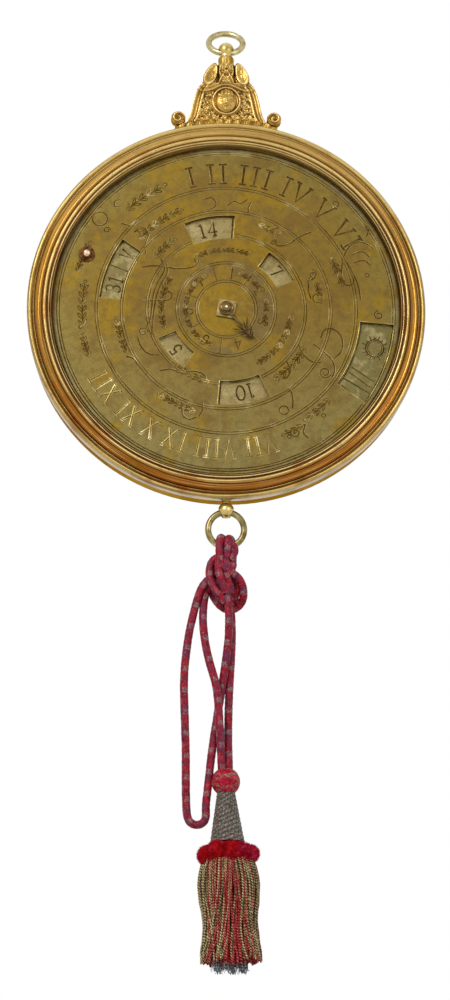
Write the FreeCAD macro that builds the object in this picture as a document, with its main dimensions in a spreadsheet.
import FreeCAD, Part
import math
import os

import Sketcher
from FreeCAD import Placement, Rotation, Vector

# A brass perpetual calendar that hangs from a ring: a round case with a moulded bezel, a front plate
# with six windows that turns by a small knob over a fixed data plate, a pointer on the centre arbor,
# a cast hanger above, and below it a ring with a knotted cord and a tassel. Millimetres. X runs to
# the right, Z up, and the dial faces -Y. The origin is the top of the inside of the top ring, where
# the nail goes.
#
# The case is drawn on the dial: across, up, and towards the viewer from the face of the front plate.

SIZES = [
    # The round case and its bezel.
    ("case_radius", 60.0),
    ("wall_setback", 0.4),
    ("case_depth", 6.1),
    ("bezel_skirt", 1.3),
    ("bezel_wall", 2.4),
    ("bezel_widest", 1.9),
    ("bezel_shoulder", 2.4),
    ("cove_width", 2.3),
    ("bead_width", 1.3),
    ("bead_foot", 2.45),
    ("groove_width", 0.3),
    ("lip_width", 1.1),
    ("lip_air", 0.35),
    ("case_wall", 5.1),
    ("ledge_width", 2.5),
    ("press_gap", 0.03),
    # The discs inside.
    ("plate_gap", 0.3),
    ("plate_thickness", 0.9),
    ("plate_air", 0.25),
    ("data_thickness", 0.8),
    ("cover_thickness", 0.8),
    ("cover_rim", 2.6),
    ("cover_gap", 0.05),
    ("screw_count", 4),
    ("screw_radius", 0.8),
    ("screw_head_radius", 1.5),
    ("screw_head_height", 0.6),
    ("screw_length", 2.4),
    ("pin_radius", 0.6),
    ("pin_length", 2.0),
    # The windows of the front plate: how wide each is, the step between them, and how they are turned.
    ("window_angle", 30.0),
    ("window_step", 60.0),
    ("plate_turn", 10.0),
    # The turning knob on the front plate.
    ("knob_angle", 68.0),
    ("knob_radius", 1.35),
    ("knob_height", 1.8),
    ("knob_stem", 0.7),
    ("knob_washer_radius", 2.5),
    ("knob_washer_thickness", 0.3),
    # The arbor at the centre, with its spring washer, pointer and nut.
    ("arbor_radius", 1.5),
    ("arbor_flange", 4.0),
    ("arbor_flange_thickness", 0.9),
    ("arbor_proud", 0.3),
    ("post_radius", 0.7),
    ("running_gap", 0.05),
    ("spring_side", 5.4),
    ("spring_thickness", 0.3),
    ("spring_turn", 10.0),
    ("hand_air", 0.25),
    ("hand_thickness", 0.5),
    ("hub_radius", 2.2),
    ("hand_length", 12.6),
    ("hand_barb", 2.5),
    ("hand_angle", 140.0),
    ("nut_radius", 1.1),
    ("nut_height", 0.8),
    # The two rings and the pendants that hold them.
    ("ring_radius", 5.3),
    ("ring_wire", 0.95),
    ("ring_lean", 30.0),
    ("hang_depth", 2.3),
    ("pendant_ball", 2.4),
    ("pendant_bore", 1.45),
    ("pendant_neck", 1.7),
    ("pendant_neck_length", 5.0),
    ("top_bore_rise", 2.7),
    ("top_ball_rise", 0.85),
    ("bottom_bore_depth", 3.65),
    ("bottom_ball_rise", 0.8),
    ("bottom_neck", 1.3),
    ("bottom_shank_radius", 1.1),
    ("bottom_shank_length", 3.0),
    # The cast hanger.
    ("ornament_half_width", 16.8),
    ("ornament_rise", 23.0),
    ("ornament_thickness", 2.2),
    ("foot_height", 3.5),
    ("foot_angle", 15.6),
    ("foot_thickness", 2.6),
    ("scroll_radius", 2.0),
    ("scroll_angle", 13.17),
    ("scroll_rise", 5.15),
    ("collar_radius", 2.35),
    ("collar_length", 4.1),
    ("collar_drop", 1.7),
    ("panel_rise", 8.0),
    ("panel_half_width", 4.2),
    ("panel_half_height", 4.8),
    ("panel_bulge", 1.4),
    ("ornament_screw_across", 8.0),
    ("ornament_screw_depth", 2.9),
    ("ornament_screw_radius", 0.5),
    ("ornament_screw_length", 10.4),
    ("ornament_screw_head", 0.9),
    ("ornament_screw_head_height", 0.5),
    # The cord and the tassel.
    ("cord_thickness", 2.3),
    ("hitch_air", 0.45),
    ("hitch_across", 1.3),
    ("hitch_drop", 5.6),
    ("knot_half_width", 4.0),
    ("knot_half_depth", 3.4),
    ("knot_half_height", 4.5),
    ("knot_drop", 9.4),
    ("knot_across", 1.5),
    ("tassel_across", 0.7),
    ("tassel_drop", 69.9),
    ("tassel_lean", 1.6),
    ("ball_drop", 3.3),
    ("cone_length", 13.9),
    ("cone_top_radius", 2.6),
    ("cone_foot_radius", 4.95),
    ("cone_cover", 0.45),
    ("ruff_radius", 5.9),
    ("ruff_thickness", 3.2),
    ("fringe_length", 28.0),
    ("fringe_top_radius", 8.3),
    ("fringe_foot_radius", 9.4),
    ("fringe_wall", 1.9),
    ("inner_fringe_extra", 2.9),
    ("fringe_gap", 0.2),
]

# The outline of the hanger's right half, from its foot to the collar: shares of its half width and rise.
HANGER_SHARES = [
    (0.72, -0.02),
    (0.72, 0.12),
    (0.657, 0.195),
    (0.624, 0.33),
    (0.587, 0.478),
    (0.522, 0.612),
    (0.466, 0.7),
    (0.447, 0.757),
    (0.392, 0.82),
    (0.358, 0.89),
    (0.326, 0.95),
    (0.28, 0.995),
    (0.24, 1.01),
    (0.19, 1.0),
    (0.155, 0.942),
    (0.143, 0.9),
]
# The pointer's right edge from the hub to its tip: shares of its length and of its barbs' reach.
POINTER_SHARES = [
    (0.1, 0.26),
    (0.66, 0.12),
    (0.6, 0.5),
    (0.5, 1.0),
    (0.62, 0.9),
    (0.74, 0.62),
    (0.84, 0.24),
]
# Each row of windows, from its inner to its outer edge, as shares of the front plate's radius.
WEEK_ROW_SHARES = (0.31, 0.4151)
DAY_ROW_SHARES = (0.4207, 0.5572)
MONTH_ROW_SHARES = (0.583, 0.7085)
GREAT_ROW_SHARES = (0.7472, 0.9354)
# How far out the turning knob stands, as a share of the front plate's radius.
KNOB_SHARE = 0.8413
# Shares that turn a width into the radius of a moulding of that width: over 0.5, so the arc closes.
BEAD_SHARE = 0.53
COVE_SHARE = 0.62
TORUS_SHARE = 0.6
NUT_DOME_SHARE = 0.6
# How far a cutting rod runs past the middle of what it cuts, as a share of that piece's own size.
OVERRUN_SHARE = 2.0
# The fringe's narrowest place, as shares of its length and of its top radius.
WAIST_SHARES = (0.6, 0.97)

# Routes of the cord, chosen by eye: across, behind the ring's wire, and up from the middle of that
# wire at the foot of the bottom ring.
HANGING_LOOP_ROUTE = [
    (-3.6, -0.6, -7.6),
    (-6.3, -0.8, -10.4),
    (-8.7, -0.5, -14.4),
    (-10.8, -0.1, -20.2),
    (-12.5, 0.1, -28.4),
    (-13.1, -0.1, -39.0),
    (-12.2, 0.0, -50.2),
    (-12.5, 0.1, -60.6),
    (-11.9, 0.0, -70.0),
    (-12.25, 0.0, -76.9),
    (-11.95, 0.0, -80.85),
    (-10.4, 0.0, -82.4),
    (-8.2, 0.0, -82.4),
    (-6.65, 0.0, -80.85),
    (-6.75, 0.1, -77.0),
    (-6.3, 0.3, -70.6),
    (-5.6, 0.8, -61.0),
    (-3.6, 1.3, -50.6),
    (-2.6, 0.8, -44.6),
    (-0.7, -0.9, -36.0),
    (0.5, -2.3, -27.0),
    (0.4, -2.6, -19.6),
    (0.0, -2.3, -14.6),
    (-0.6, -1.6, -11.4),
]
LEFT_STRAND_ROUTE = [
    (-3.0, 0.2, -11.8),
    (-6.0, 0.5, -15.0),
    (-7.4, 0.1, -19.4),
    (-7.3, -0.3, -26.6),
    (-5.5, -1.0, -34.4),
    (-3.3, -2.2, -43.6),
    (-2.6, -2.1, -53.0),
    (-2.2, -1.2, -61.0),
    (-1.9, -0.3, -66.8),
]
RIGHT_STRAND_ROUTE = [
    (0.6, 0.8, -11.6),
    (0.8, 0.3, -16.4),
    (1.5, 0.4, -23.6),
    (1.2, 1.0, -33.0),
    (0.5, 1.6, -43.6),
    (0.3, 1.2, -54.6),
    (0.5, 0.4, -62.0),
    (0.6, 0.1, -66.8),
]
KNOT_LOOP_ROUTE = [
    (0.4, -2.7, -8.9),
    (2.7, -2.6, -9.9),
    (4.5, -1.6, -12.0),
    (4.9, 0.2, -14.6),
    (3.6, 2.0, -17.2),
    (1.0, 3.2, -18.5),
    (-1.6, 3.4, -17.6),
    (-3.4, 2.9, -15.2),
    (-2.8, 2.5, -12.2),
]


class Size:
    """A number, and the words that work it out from the sheet."""

    def __init__(self, value, words):
        self.value = value
        self.words = words

    def __add__(self, other):
        other = sized(other)
        return Size(self.value + other.value, f"({self.words} + {other.words})")

    def __sub__(self, other):
        other = sized(other)
        return Size(self.value - other.value, f"({self.words} - {other.words})")

    def __mul__(self, other):
        other = sized(other)
        return Size(self.value * other.value, f"({self.words} * {other.words})")

    def __truediv__(self, other):
        other = sized(other)
        return Size(self.value / other.value, f"({self.words} / {other.words})")

    def __neg__(self):
        return Size(-self.value, f"(-1 * {self.words})")


def sized(thing):
    """The thing as a Size: a plain number stands for itself."""
    if isinstance(thing, Size):
        return thing
    return Size(float(thing), repr(float(thing)))


def root_of(size):
    return Size(math.sqrt(size.value), f"sqrt({size.words})")


def sine(angle):
    return Size(math.sin(math.radians(angle.value)), f"sin({angle.words} * 1 deg)")


def cosine(angle):
    return Size(math.cos(math.radians(angle.value)), f"cos({angle.words} * 1 deg)")


doc = FreeCAD.newDocument("hanging_calendar")
sheet = doc.addObject("Spreadsheet::Sheet", "sizes")
for row, (name, number) in enumerate(SIZES, start=1):
    sheet.set(f"A{row}", name)
    sheet.set(f"B{row}", str(number))
    sheet.setAlias(f"B{row}", name)
doc.recompute()


class Sheet:
    """The sheet's sizes by name, as s.case_radius."""


s = Sheet()
for name, number in SIZES:
    setattr(s, name, Size(float(number), f"sizes.{name}"))
ZERO = sized(0)

# Places that several pieces share, on the dial.
wall_radius = s.case_radius - s.wall_setback
bore_radius = wall_radius - s.case_wall
ledge_radius = bore_radius - s.ledge_width
cover_bore = wall_radius - s.cover_rim
plate_radius = bore_radius - s.plate_gap
data_front = -(s.plate_thickness + s.plate_air)
ledge_front = data_front - s.data_thickness
cover_front = s.cover_thickness - s.case_depth
skirt_foot = s.lip_air - s.bezel_skirt
skirt_bore = s.case_radius - s.bezel_wall
cove_end = skirt_bore - s.cove_width
bead_end = cove_end - s.bead_width
second_bead = bead_end - s.groove_width
lip_radius = second_bead - s.lip_width
hand_back = s.arbor_proud + s.spring_thickness + s.hand_air
nut_back = hand_back + s.hand_thickness + s.hand_air
# A ring hangs from the middle of its wire's curve inside the ball's bore, half the curve's rise off.
chord_depth = s.ring_radius - root_of(s.ring_radius * s.ring_radius - s.pendant_ball * s.pendant_ball)
ring_reach = s.ring_radius - chord_depth / 2
inner_ring = s.ring_radius - s.ring_wire
top_bore_height = wall_radius + s.ornament_rise + s.top_bore_rise
bottom_bore_height = -(wall_radius + s.bottom_bore_depth)
ring_foot_height = bottom_bore_height - ring_reach - s.ring_radius
# Where the dial's centre is, from the origin inside the top ring.
dial_deep = -(inner_ring + ring_reach) * sine(s.ring_lean) - s.hang_depth
dial_up = -(inner_ring + ring_reach) * cosine(s.ring_lean) - top_bore_height

ARC_SHARE = 0.45
QUARTER_TURN = 90
WHOLE_TURN = 360
TO_THE_RIGHT = Vector(1, 0, 0)
TO_THE_BACK = Vector(0, 1, 0)
UP = Vector(0, 0, 1)
pieces = []


def bind(thing, way, size):
    thing.setExpression(way, size.words)
    return thing


def put(thing, across=ZERO, up=ZERO, front=ZERO, about=UP, turn=0.0):
    """Places a thing, with each way bound to its size, then turned about one axis."""
    spot = Vector(across.value, up.value, front.value)
    thing.Placement = Placement(spot, Rotation(about, float(turn)))
    for way, size in (("x", across), ("y", up), ("z", front)):
        bind(thing, ".Placement.Base." + way, size)
    return thing


def finish(thing, label):
    thing.Label = label
    pieces.append(thing)
    return thing


def on_dial(thing, label, across=ZERO, up=ZERO, front=ZERO):
    """Stands a piece that was drawn on the dial upright in the calendar's own frame."""
    put(thing, across, dial_deep - front, dial_up + up, TO_THE_RIGHT, QUARTER_TURN)
    return finish(thing, label)


def rod(name, radius, length, angle=None):
    """A cylinder that stands on the dial, or a slice of one."""
    made = doc.addObject("Part::Cylinder", name)
    bind(made, "Radius", radius)
    bind(made, "Height", length)
    if angle is not None:
        bind(made, "Angle", angle)
    return made


def ball(name, radius):
    return bind(doc.addObject("Part::Sphere", name), "Radius", radius)


def join(name, things):
    made = doc.addObject("Part::MultiFuse", name)
    made.Shapes = things
    return made


def cut(name, base, tools):
    """The base with the tools cut out of it."""
    made = doc.addObject("Part::Cut", name)
    made.Base = base
    made.Tool = tools[0] if len(tools) == 1 else join(name + "_tools", tools)
    return made


def group(name, things):
    made = doc.addObject("Part::Compound", name)
    made.Links = things
    return made


def outline(body, name, role, corners):
    """A closed outline on one of the body's planes. Each corner is (across, up), and an edge that
    leaves a corner as an arc adds its radius and the side of its centre: 1 is left, -1 is right."""
    plane = next(p for p in body.Origin.OriginFeatures if p.Role == role)
    sketch = body.newObject("Sketcher::SketchObject", name)
    sketch.AttachmentSupport = (plane, [""])
    sketch.MapMode = "FlatFace"
    ends = []
    radii = []
    for here, after in zip(corners, corners[1:] + corners[:1]):
        start = Vector(here[0].value, here[1].value, 0)
        end = Vector(after[0].value, after[1].value, 0)
        if len(here) == 2:
            edge = sketch.addGeometry(Part.LineSegment(start, end), False)
            ends.append((edge, 1, 2))
            continue
        radius, side = here[2], here[3]
        half = (end - start) * 0.5
        rise = math.sqrt(max(radius.value**2 - half.Length**2, 0))
        left = Vector(-half.y, half.x, 0).normalize()
        centre = start + half + left * (side * rise)
        first, last = (start, end) if side > 0 else (end, start)
        angles = [math.atan2(p.y - centre.y, p.x - centre.x) for p in (first, last)]
        circle = Part.Circle(centre, UP, radius.value)
        edge = sketch.addGeometry(Part.ArcOfCircle(circle, *angles), False)
        ends.append((edge, 1, 2) if side > 0 else (edge, 2, 1))
        radii.append((edge, radius))
    for (edge, _, far), (following, near, _) in zip(ends, ends[1:] + ends[:1]):
        sketch.addConstraint(Sketcher.Constraint("Coincident", edge, far, following, near))
    for (edge, near, _), corner in zip(ends, corners):
        for kind, axis, size in (("DistanceX", -2, corner[0]), ("DistanceY", -1, corner[1])):
            if size is ZERO:
                sketch.addConstraint(Sketcher.Constraint("PointOnObject", edge, near, axis))
                continue
            rule = Sketcher.Constraint(kind, -1, 1, edge, near, size.value)
            bind(sketch, f"Constraints[{sketch.addConstraint(rule)}]", size)
    for edge, radius in radii:
        rule = Sketcher.Constraint("Radius", edge, radius.value)
        bind(sketch, f"Constraints[{sketch.addConstraint(rule)}]", radius)
    return sketch


def turned(name, corners):
    """A body turned about the dial's axis from corners of (radius, front)."""
    body = doc.addObject("PartDesign::Body", name)
    sketch = outline(body, name + "_profile", "XZ_Plane", corners)
    spin = body.newObject("PartDesign::Revolution", name + "_turned")
    spin.Profile = sketch
    spin.ReferenceAxis = (sketch, ["V_Axis"])
    spin.Angle = WHOLE_TURN
    return body


def sheet_metal(name, corners, thickness):
    """A body of flat stock from corners of (across, up), as thick as said."""
    body = doc.addObject("PartDesign::Body", name)
    sketch = outline(body, name + "_outline", "XY_Plane", corners)
    pad = body.newObject("PartDesign::Pad", name + "_pad")
    pad.Profile = sketch
    bind(pad, "Length", thickness)
    return body


def make_top_ring():
    ring = doc.addObject("Part::Torus", "top_ring")
    bind(ring, "Radius1", s.ring_radius)
    bind(ring, "Radius2", s.ring_wire)
    deep = -inner_ring * sine(s.ring_lean)
    up = -inner_ring * cosine(s.ring_lean)
    finish(put(ring, ZERO, deep, up, TO_THE_RIGHT, QUARTER_TURN - s.ring_lean.value), "top_ring")


def screw_places():
    """Where the cover's screws go, as (across, up) from the dial's centre."""
    circle = (ledge_radius + cover_bore) / 2
    step = sized(WHOLE_TURN) / s.screw_count
    angles = [step * number + step / 2 for number in range(round(s.screw_count.value))]
    return [(circle * sine(angle), circle * cosine(angle)) for angle in angles]


def countersunk(name, across, up, more):
    """A countersunk screw that goes in from the back of the case, or its hole with a little more."""
    head = doc.addObject("Part::Cone", name + "_head")
    bind(head, "Radius1", s.screw_head_radius + more)
    bind(head, "Radius2", s.screw_radius + more)
    bind(head, "Height", s.screw_head_height)
    stem = rod(name + "_stem", s.screw_radius + more, s.screw_length + more)
    return [put(solid, across, up, -s.case_depth) for solid in (head, stem)]


def cover_screws(name, more=ZERO):
    return [countersunk(f"{name}_{number}", *place, more) for number, place in enumerate(screw_places())]


def steady_pins(name, more=ZERO):
    """The two pins that stop the data plate from turning, or their holes."""
    middle = (ledge_radius + bore_radius) / 2
    made = []
    for side, up in (("top", middle), ("foot", -middle)):
        pin = rod(f"{name}_{side}", s.pin_radius + more, s.pin_length + more)
        made.append(put(pin, ZERO, up, data_front - s.pin_length - more))
    return made


def hanger_screws(name, more=ZERO):
    """The two screws that hold the hanger from inside the case: (head, stem) pairs, or their holes."""
    head_edge = s.ornament_screw_across + s.ornament_screw_head
    seat = root_of(ledge_radius * ledge_radius - head_edge * head_edge)
    made = []
    for side, across in (("left", -s.ornament_screw_across), ("right", s.ornament_screw_across)):
        stem = rod(f"{name}_{side}_stem", s.ornament_screw_radius + more, s.ornament_screw_length + more)
        head = rod(f"{name}_{side}_head", s.ornament_screw_head, s.ornament_screw_head_height)
        under = seat - s.ornament_screw_head_height
        put(stem, across, seat, -s.ornament_screw_depth, TO_THE_RIGHT, -QUARTER_TURN)
        put(head, across, under, -s.ornament_screw_depth, TO_THE_RIGHT, -QUARTER_TURN)
        made.append((head, stem))
    return made


def make_case_ring():
    blank = turned(
        "case_ring_blank",
        [
            (bore_radius, s.lip_air),
            (skirt_bore - s.press_gap, s.lip_air),
            (skirt_bore - s.press_gap, skirt_foot),
            (wall_radius, skirt_foot),
            (wall_radius, -s.case_depth),
            (cover_bore, -s.case_depth),
            (cover_bore, cover_front),
            (ledge_radius, cover_front),
            (ledge_radius, ledge_front),
            (bore_radius, ledge_front),
        ],
    )
    holes = [stem for _, stem in cover_screws("case_screw_hole", s.press_gap)]
    holes += steady_pins("case_pin_hole", s.press_gap)
    holes += [stem for _, stem in hanger_screws("case_hanger_hole", s.press_gap)]
    holes.append(bottom_shank("bottom_shank_hole", s.press_gap))
    on_dial(cut("case_ring", blank, holes), "case_ring")


def make_bezel_ring():
    """The moulding from the outside in: a torus, a cove, two beads with a groove between, and the lip."""
    on_dial(
        turned(
            "bezel_ring",
            [
                (lip_radius, s.lip_air),
                (skirt_bore, s.lip_air),
                (skirt_bore, skirt_foot),
                (s.case_radius - s.press_gap, skirt_foot),
                (s.case_radius, s.bezel_widest, s.bezel_wall * TORUS_SHARE, 1),
                (skirt_bore, s.bezel_shoulder, s.cove_width * COVE_SHARE, -1),
                (cove_end, s.bead_foot, s.bead_width * BEAD_SHARE, 1),
                (bead_end, s.bead_foot),
                (second_bead, s.bead_foot, s.lip_width * BEAD_SHARE, 1),
                (lip_radius, s.bead_foot),
            ],
        ),
        "bezel_ring",
    )


def make_data_plate():
    disc = put(rod("data_disc", plate_radius, s.data_thickness), front=ledge_front)
    holes = steady_pins("data_pin_hole", s.press_gap)
    hub = rod("data_hub_hole", s.arbor_radius + s.press_gap, s.data_thickness)
    holes.append(put(hub, front=ledge_front))
    on_dial(cut("data_plate", disc, holes), "data_plate")
    on_dial(group("data_plate_pins", steady_pins("steady_pin")), "data_plate_pins")


def make_back_cover():
    disc = put(rod("cover_disc", cover_bore - s.cover_gap, s.cover_thickness), front=-s.case_depth)
    holes = [solid for pair in cover_screws("cover_hole", s.press_gap) for solid in pair]
    on_dial(cut("back_cover", disc, holes), "back_cover")
    screws = [join(f"cover_screw_{number}", pair) for number, pair in enumerate(cover_screws("cover_screw"))]
    on_dial(group("back_cover_screws", screws), "back_cover_screws")


def window(name, row_shares, clockwise):
    """A window's opening: a slice of a ring between two radii, its middle at an angle from the top."""
    low, high = (plate_radius * share for share in row_shares)
    slice_ = rod(name + "_outer", high, s.plate_thickness, s.window_angle)
    made = cut(name, slice_, [rod(name + "_inner", low, s.plate_thickness)])
    start = QUARTER_TURN - clockwise.value - s.window_angle.value / 2
    return put(made, front=-s.plate_thickness, turn=start)


def knob_place():
    angle = -s.knob_angle
    out = plate_radius * KNOB_SHARE
    return out * sine(angle), out * cosine(angle)


def make_front_plate():
    disc = put(rod("front_disc", plate_radius, s.plate_thickness), front=-s.plate_thickness)
    rows = [
        ("month_window", MONTH_ROW_SHARES, -1),
        ("day_window", DAY_ROW_SHARES, 0),
        ("week_window", WEEK_ROW_SHARES, 1),
        ("great_window", GREAT_ROW_SHARES, 2),
        ("lower_day_window", DAY_ROW_SHARES, 3),
        ("lower_week_window", WEEK_ROW_SHARES, 4),
    ]
    holes = [window(name, row, s.window_step * step - s.plate_turn) for name, row, step in rows]
    hub = rod("front_hub_hole", s.arbor_radius + s.running_gap, s.plate_thickness)
    holes.append(put(hub, front=-s.plate_thickness))
    stem = rod("knob_stem_hole", s.knob_stem + s.press_gap, s.plate_thickness)
    holes.append(put(stem, *knob_place(), -s.plate_thickness))
    on_dial(cut("front_plate", disc, holes), "front_plate")


def make_turning_knob():
    dome = s.knob_washer_thickness + s.knob_height
    knob = turned(
        "turning_knob",
        [
            (ZERO, -s.plate_thickness),
            (s.knob_stem, -s.plate_thickness),
            (s.knob_stem, s.knob_washer_thickness),
            (s.knob_radius, s.knob_washer_thickness),
            (s.knob_radius, dome - s.knob_radius, s.knob_radius, 1),
            (ZERO, dome),
        ],
    )
    on_dial(knob, "turning_knob", *knob_place())
    washer = rod("washer_disc", s.knob_washer_radius, s.knob_washer_thickness)
    hole = rod("washer_hole", s.knob_stem + s.press_gap, s.knob_washer_thickness)
    on_dial(cut("knob_washer", washer, [hole]), "knob_washer", *knob_place())


def make_centre():
    """The arbor that carries both plates' hubs, its spring washer, the pointer and the nut."""
    arbor = turned(
        "centre_arbor",
        [
            (ZERO, ledge_front - s.arbor_flange_thickness),
            (s.arbor_flange, ledge_front - s.arbor_flange_thickness),
            (s.arbor_flange, ledge_front),
            (s.arbor_radius, ledge_front),
            (s.arbor_radius, s.arbor_proud),
            (s.post_radius, s.arbor_proud),
            (s.post_radius, nut_back + s.nut_height / 2),
            (ZERO, nut_back + s.nut_height / 2),
        ],
    )
    on_dial(arbor, "centre_arbor")
    spring = doc.addObject("Part::Box", "spring_square")
    for way, length in (("Length", s.spring_side), ("Width", s.spring_side), ("Height", s.spring_thickness)):
        bind(spring, way, length)
    half = s.spring_side / 2
    put(spring, -half, -half)
    hole = rod("spring_hole", s.post_radius + s.press_gap, s.spring_thickness)
    washer = put(cut("spring_blank", spring, [hole]), turn=-s.spring_turn.value)
    on_dial(group("square_spring_washer", [washer]), "square_spring_washer", front=s.arbor_proud)
    cap = s.nut_height * NUT_DOME_SHARE
    dome_radius = (s.nut_radius * s.nut_radius + cap * cap) / (cap * 2)
    nut = turned(
        "arbor_nut",
        [
            (ZERO, nut_back + s.nut_height / 2 + s.press_gap),
            (s.post_radius + s.press_gap, nut_back + s.nut_height / 2 + s.press_gap),
            (s.post_radius + s.press_gap, nut_back),
            (s.nut_radius, nut_back),
            (s.nut_radius, nut_back + s.nut_height - cap, dome_radius, 1),
            (ZERO, nut_back + s.nut_height),
        ],
    )
    on_dial(nut, "arbor_nut")


def make_pointer():
    right = [(s.hand_barb * side, s.hand_length * along) for along, side in POINTER_SHARES]
    left = [(-across, along) for across, along in reversed(right)]
    blade = sheet_metal("pointer_blade", right + [(ZERO, s.hand_length)] + left, s.hand_thickness)
    put(blade, turn=-s.hand_angle.value)
    hub = rod("pointer_hub", s.hub_radius, s.hand_thickness)
    hole = rod("pointer_hole", s.post_radius + s.running_gap, s.hand_thickness)
    pointer = cut("pointer_hand", join("pointer_blank", [blade, hub]), [hole])
    on_dial(pointer, "pointer_hand", front=hand_back)


def make_hanger():
    """The cast hanger: a plaque with ears, a foot that fits the case, two scrolls, a collar and a mask."""
    half, rise = s.ornament_half_width, s.ornament_rise
    right = [(half * across, wall_radius + rise * up) for across, up in HANGER_SHARES]
    left = [(-across, up) for across, up in reversed(right)]
    back = -s.hang_depth - s.ornament_thickness / 2
    plaque = put(sheet_metal("hanger_plaque", right + left, s.ornament_thickness), front=back)
    foot = rod("hanger_foot", wall_radius + s.foot_height, s.foot_thickness, s.foot_angle * 2)
    put(foot, front=-s.hang_depth - s.foot_thickness / 2, turn=QUARTER_TURN - s.foot_angle.value)
    solids = [plaque, foot]
    scroll_circle = wall_radius + s.scroll_rise
    for side, angle in (("left", -s.scroll_angle), ("right", s.scroll_angle)):
        scroll = rod(f"hanger_scroll_{side}", s.scroll_radius, s.foot_thickness)
        across, up = scroll_circle * sine(angle), scroll_circle * cosine(angle)
        put(scroll, across, up, -s.hang_depth - s.foot_thickness / 2)
        solids.append(scroll)
    collar_foot = top_bore_height - s.collar_drop - s.collar_length
    collar = rod("hanger_collar", s.collar_radius, s.collar_length)
    solids.append(put(collar, ZERO, collar_foot, -s.hang_depth, TO_THE_RIGHT, -QUARTER_TURN))
    mask = doc.addObject("Part::Ellipsoid", "hanger_mask")
    bind(mask, "Radius1", s.panel_bulge)
    bind(mask, "Radius2", s.panel_half_width)
    bind(mask, "Radius3", s.panel_half_height)
    solids.append(put(mask, ZERO, wall_radius + s.panel_rise, back + s.ornament_thickness))
    seat = rod("hanger_seat", wall_radius, s.foot_thickness * OVERRUN_SHARE)
    holes = [put(seat, front=-s.hang_depth - s.foot_thickness * OVERRUN_SHARE / 2)]
    holes += [stem for _, stem in hanger_screws("hanger_hole", s.press_gap)]
    holes.append(top_neck("hanger_neck_hole", s.press_gap))
    on_dial(cut("hanger_ornament", join("hanger_casting", solids), holes), "hanger_ornament")
    screws = [join(f"hanger_screw_{n}", list(pair)) for n, pair in enumerate(hanger_screws("hanger_screw"))]
    on_dial(group("hanger_screws", screws), "hanger_screws")


def top_neck(name, more=ZERO):
    """The neck of the top pendant, from its foot in the collar up to the ball's middle, or its hole."""
    foot = top_bore_height - s.pendant_neck_length - more
    neck = rod(name, s.pendant_neck + more, s.pendant_neck_length + s.top_ball_rise + more)
    return put(neck, ZERO, foot, -s.hang_depth, TO_THE_RIGHT, -QUARTER_TURN)


def bottom_shank(name, more=ZERO):
    """The threaded shank of the bottom pendant inside the case's wall, or its hole."""
    shank = rod(name, s.bottom_shank_radius + more, s.bottom_shank_length + more)
    return put(shank, ZERO, -wall_radius, -s.hang_depth, TO_THE_RIGHT, -QUARTER_TURN)


def pendant(name, bore_height, ball_rise, stem):
    """A ball on its stem, bored across for a ring."""
    round_part = put(ball(name + "_ball", s.pendant_ball), ZERO, bore_height + ball_rise, -s.hang_depth)
    overrun = s.pendant_ball * OVERRUN_SHARE
    bore = rod(name + "_bore", s.pendant_bore, overrun * 2)
    put(bore, -overrun, bore_height, -s.hang_depth, TO_THE_BACK, QUARTER_TURN)
    on_dial(cut(name, join(name + "_blank", [round_part, *stem]), [bore]), name)


def make_pendants():
    pendant("hanger_pendant", top_bore_height, s.top_ball_rise, [top_neck("hanger_pendant_neck")])
    neck = rod("bottom_pendant_neck", s.bottom_neck, s.bottom_bore_depth - s.bottom_ball_rise)
    put(neck, ZERO, bottom_bore_height + s.bottom_ball_rise, -s.hang_depth, TO_THE_RIGHT, -QUARTER_TURN)
    stem = [neck, bottom_shank("bottom_pendant_shank")]
    pendant("bottom_pendant", bottom_bore_height, s.bottom_ball_rise, stem)


def make_bottom_ring():
    ring = doc.addObject("Part::Torus", "bottom_ring")
    bind(ring, "Radius1", s.ring_radius)
    bind(ring, "Radius2", s.ring_wire)
    on_dial(ring, "bottom_ring", ZERO, bottom_bore_height - ring_reach, -s.hang_depth)


def tube(points):
    """A round cord along straight runs that tangent arcs join, and the radii of those arcs."""
    edges = []
    radii = []
    reached = points[0]
    for before, corner, after in zip(points, points[1:], points[2:]):
        come = corner - before
        go = after - corner
        half_turn = come.getAngle(go) / 2
        trim = ARC_SHARE * min(come.Length, go.Length)
        radius = trim / math.tan(half_turn)
        come.normalize()
        go.normalize()
        inward = (go - come).normalize()
        middle = corner + inward * (radius / math.cos(half_turn) - radius)
        start = corner - come * trim
        end = corner + go * trim
        edges.append(Part.LineSegment(reached, start).toShape())
        edges.append(Part.Arc(start, middle, end).toShape())
        radii.append(radius)
        reached = end
    edges.append(Part.LineSegment(reached, points[-1]).toShape())
    return sweep(edges), radii


def sweep(edges):
    spine = Part.Wire(edges)
    radius = s.cord_thickness.value / 2
    first = edges[0]
    start = first.valueAt(first.FirstParameter)
    circle = Part.Circle(start, first.tangentAt(first.FirstParameter), radius)
    solid = spine.makePipeShell([Part.Wire(circle.toShape())], True, False)
    expected = math.pi * radius**2 * spine.Length
    print(f"  cord {spine.Length:.1f} mm long, volume {solid.Volume:.1f} of {expected:.1f}")
    return solid


def on_cord(shape, label):
    """A soft piece whose shape is drawn from the middle of the ring's wire at its foot."""
    made = doc.addObject("Part::Feature", label)
    made.Shape = shape
    foot = dial_up + ring_foot_height
    made.Placement = Placement(Vector(0, (dial_deep + s.hang_depth).value, foot.value), Rotation())
    return finish(made, label)


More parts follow.
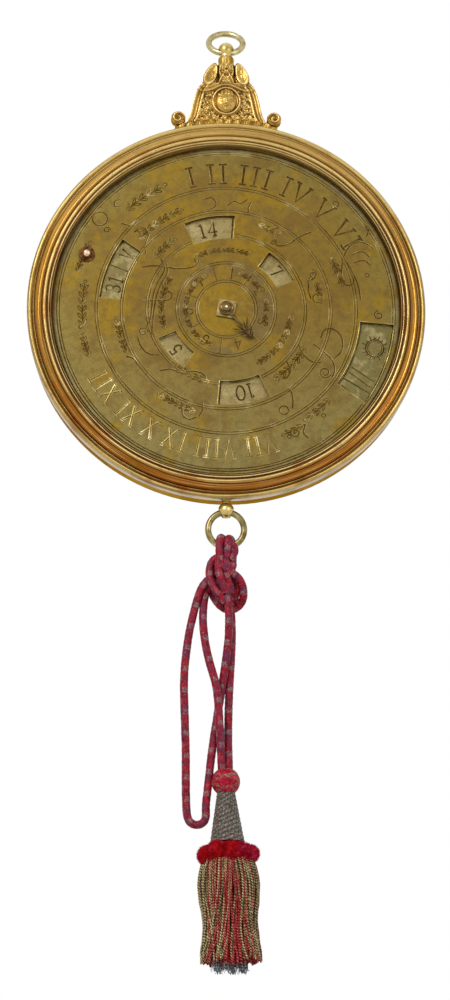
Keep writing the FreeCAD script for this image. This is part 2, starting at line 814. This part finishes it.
def make_hitch():
    """The cord's two turns over the ring's wire, side by side."""
    reach = (s.ring_wire + s.hitch_air + s.cord_thickness / 2).value
    turns = []
    for across in (-s.hitch_across.value, s.hitch_across.value):
        rise = s.ring_radius.value - math.sqrt(s.ring_radius.value**2 - across**2)
        front = Vector(across, -reach, rise)
        back = Vector(across, reach, rise)
        down = Vector(0, 0, -s.hitch_drop.value - rise)
        over = Part.Arc(front, Vector(across, 0, rise + reach), back).toShape()
        sides = [Part.LineSegment(front + down, front), Part.LineSegment(back, back + down)]
        turns.append(sweep([sides[0].toShape(), over, sides[1].toShape()]))
    on_cord(Part.makeCompound(turns), "cord_hitch")


def make_cords():
    routes = [
        ("cord_knot_loop", KNOT_LOOP_ROUTE),
        ("cord_hanging_loop", HANGING_LOOP_ROUTE),
        ("cord_strand_left", LEFT_STRAND_ROUTE),
        ("cord_strand_right", RIGHT_STRAND_ROUTE),
    ]
    for label, route in routes:
        print(label)
        solid, radii = tube([Vector(*spot) for spot in route])
        print("  radii", " ".join(f"{radius:.1f}" for radius in radii))
        on_cord(solid, label)
    make_hitch()


def hang(thing, label, up=ZERO):
    """Puts a piece of the tassel on its leaning line, from the middle of its ball."""
    across = -s.tassel_across - up * sine(s.tassel_lean)
    height = dial_up + ring_foot_height - s.tassel_drop + up
    put(thing, across, dial_deep + s.hang_depth, height, TO_THE_BACK, -s.tassel_lean.value)
    return finish(thing, label)


def make_knot():
    knot = doc.addObject("Part::Ellipsoid", "cord_knot")
    bind(knot, "Radius1", s.knot_half_height)
    bind(knot, "Radius2", s.knot_half_width)
    bind(knot, "Radius3", s.knot_half_depth)
    put(knot, -s.knot_across, dial_deep + s.hang_depth, dial_up + ring_foot_height - s.knot_drop)
    finish(knot, "cord_knot")


def make_tassel():
    """From the top: a ball cut flat where it meets the cords and the cone, the cone over the wooden
    mould, the pile ruff, and the two fringes."""
    ball_foot = -s.ball_drop
    cone_foot = ball_foot - s.cone_length
    ruff_middle = cone_foot - s.ruff_thickness - s.fringe_gap
    fringe_top = ruff_middle - s.ruff_thickness - s.fringe_gap
    fringe_foot = fringe_top - s.fringe_length
    waist = fringe_top - s.fringe_length * WAIST_SHARES[0]
    waist_radius = s.fringe_top_radius * WAIST_SHARES[1]
    core = s.ruff_radius - s.ruff_thickness - s.fringe_gap
    ball_square = s.cone_top_radius * s.cone_top_radius + s.ball_drop * s.ball_drop
    ball_top = root_of(ball_square - core * core)
    wound = [
        (ZERO, ball_foot),
        (s.cone_top_radius, ball_foot, root_of(ball_square), 1),
        (core, ball_top),
        (ZERO, ball_top),
    ]
    hang(turned("tassel_ball", wound), "tassel_ball")
    mould = [
        (ZERO, ball_foot),
        (ZERO, fringe_top),
        (core, fringe_top),
        (core, cone_foot),
        (s.cone_foot_radius - s.cone_cover, cone_foot),
        (s.cone_top_radius - s.cone_cover, ball_foot),
    ]
    hang(turned("tassel_mould", mould), "tassel_mould")
    netting = [
        (s.cone_top_radius - s.cone_cover, ball_foot),
        (s.cone_foot_radius - s.cone_cover, cone_foot),
        (s.cone_foot_radius, cone_foot),
        (s.cone_top_radius, ball_foot),
    ]
    hang(turned("tassel_cone", netting), "tassel_cone")
    ruff = doc.addObject("Part::Torus", "tassel_ruff")
    bind(ruff, "Radius1", s.ruff_radius)
    bind(ruff, "Radius2", s.ruff_thickness)
    hang(ruff, "tassel_ruff", ruff_middle)
    outer = [
        (s.fringe_top_radius - s.fringe_wall, fringe_top),
        (waist_radius - s.fringe_wall, waist),
        (s.fringe_foot_radius - s.fringe_wall, fringe_foot),
        (s.fringe_foot_radius, fringe_foot),
        (waist_radius, waist),
        (s.fringe_top_radius, fringe_top),
    ]
    hang(turned("tassel_outer_fringe", outer), "tassel_outer_fringe")
    inside = s.fringe_wall + s.fringe_gap
    tips = fringe_foot - s.inner_fringe_extra
    inner = [
        (ZERO, fringe_top),
        (ZERO, tips),
        (s.fringe_foot_radius - inside, tips),
        (s.fringe_foot_radius - inside, fringe_foot),
        (waist_radius - inside, waist),
        (s.fringe_top_radius - inside, fringe_top),
    ]
    hang(turned("tassel_inner_fringe", inner), "tassel_inner_fringe")


make_top_ring()
make_case_ring()
make_bezel_ring()
make_data_plate()
make_back_cover()
make_front_plate()
make_turning_knob()
make_centre()
make_pointer()
make_hanger()
make_pendants()
make_bottom_ring()
make_knot()
make_cords()
make_tassel()
doc.recompute()

faults = [o.Name for o in doc.Objects if "Invalid" in o.State or "Error" in o.State]
if faults:
    raise RuntimeError(f"these did not build: {faults}")
for thing in pieces:
    if thing.Shape.isNull() or not thing.Shape.isValid() or not thing.Shape.Solids:
        raise RuntimeError(f"{thing.Label} is not a valid solid")

os.makedirs("parts", exist_ok=True)
for thing in pieces:
    thing.Shape.exportStep(f"parts/{thing.Label}.step")
    print(f"{thing.Label}: {len(thing.Shape.Solids)} solids, {thing.Shape.Volume:.1f} mm3")
